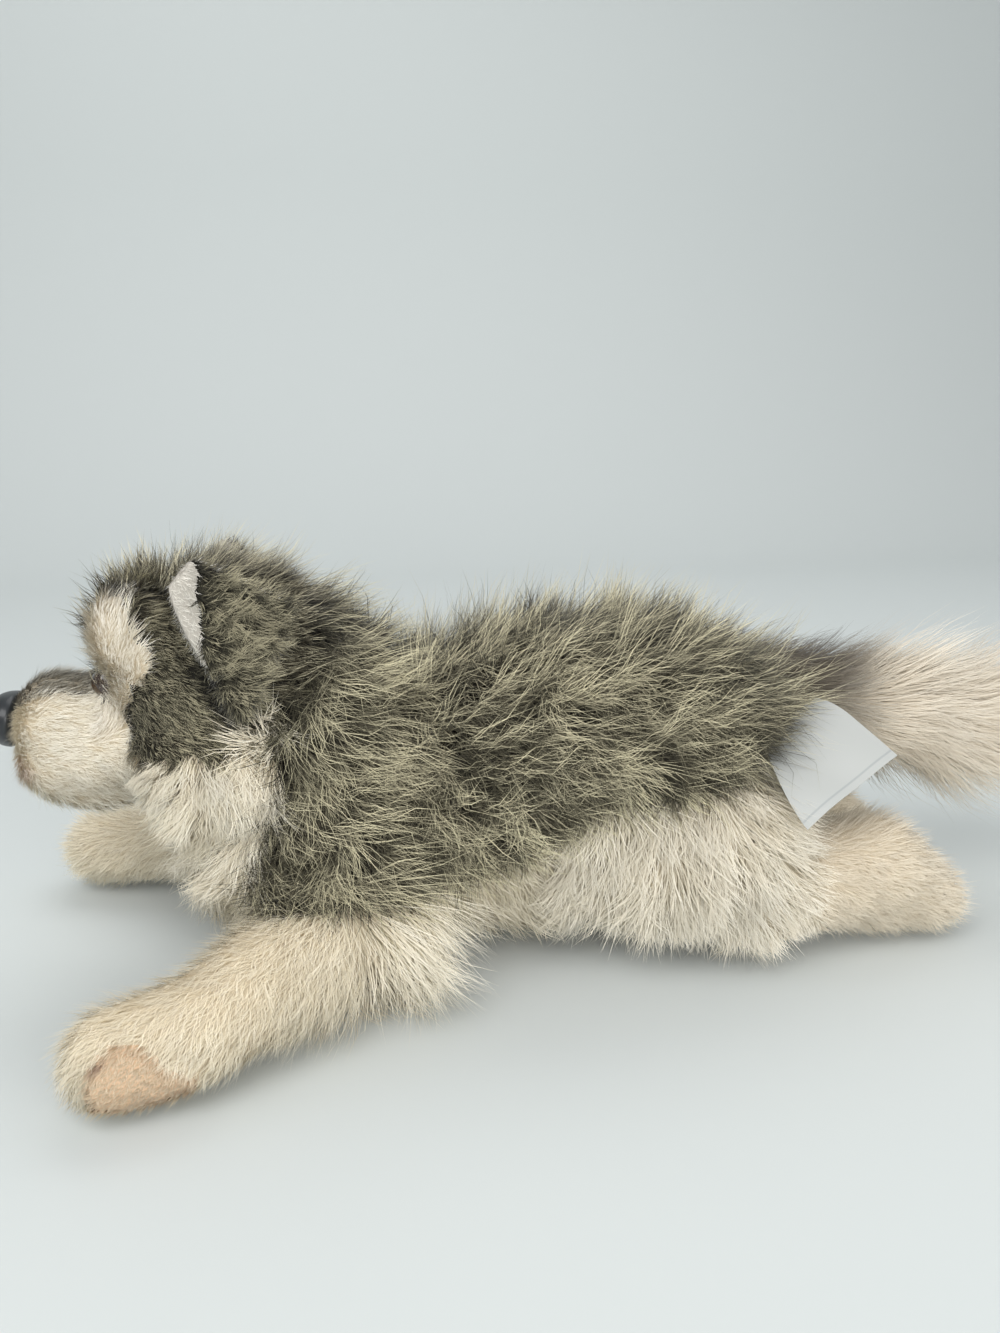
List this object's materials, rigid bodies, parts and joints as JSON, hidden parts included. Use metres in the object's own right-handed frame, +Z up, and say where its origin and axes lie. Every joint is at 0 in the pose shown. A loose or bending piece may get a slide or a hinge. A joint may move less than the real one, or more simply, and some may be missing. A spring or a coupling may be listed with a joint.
{
  "type": "plush wolf",
  "caption": "Soft plush wolf lying on its belly, front legs stretched forward and hind legs back, with a grizzled long-pile coat, cream underside, bushy tail and a blank hip label.",
  "frame": {"origin": "on the table under the middle of the belly, halfway between the left and right sides of the trunk", "axes": "+Z up, -X towards the head, +X towards the tail, -Y towards the wolf's left side"},
  "size_m": [0.3934, 0.1704, 0.1449],
  "materials": {
    "grizzled_coat": "long knitted fur pile, dark at the root, with olive cream tips",
    "cheek_pile": "short dense dark pile with light flecks",
    "cream_pile": "soft cream pile, short on the legs and muzzle and long on the thighs and ruff",
    "tail_pile": "long silky cream pile, grey brown at the root",
    "paw_suede": "peach suede cloth",
    "ear_lining": "short cream pile",
    "nose_plastic": "satin black",
    "eye_plastic": "glossy dark brown",
    "washer_plastic": "plain natural plastic",
    "label_satin": "white woven satin, blank",
    "polyester_fill": "loose white polyester fibre"
  },
  "bodies": {
    "root": {"belly": "cream_pile", "brow_left": "cream_pile", "brow_right": "cream_pile", "care_label": "label_satin", "cheek_left": "cheek_pile", "cheek_right": "cheek_pile", "chin": "cream_pile", "coat_left": "grizzled_coat", "coat_right": "grizzled_coat", "crown": "grizzled_coat", "ear_left": "grizzled_coat", "ear_lining_left": "ear_lining", "ear_lining_right": "ear_lining", "ear_right": "grizzled_coat", "eye_left": "eye_plastic", "eye_left_washer": "washer_plastic", "eye_right": "eye_plastic", "eye_right_washer": "washer_plastic", "front_leg_left": "cream_pile", "front_leg_right": "cream_pile", "front_pad_left": "paw_suede", "front_pad_right": "paw_suede", "hind_leg_left": "cream_pile", "hind_leg_right": "cream_pile", "muzzle_bridge": "cheek_pile", "muzzle_left": "cream_pile", "muzzle_right": "cream_pile", "nose": "nose_plastic", "nose_washer": "washer_plastic", "ruff_left": "cream_pile", "ruff_right": "cream_pile", "stuffing": "polyester_fill", "tail": "tail_pile", "thigh_left": "cream_pile", "thigh_right": "cream_pile"}
  },
  "joints": []
}
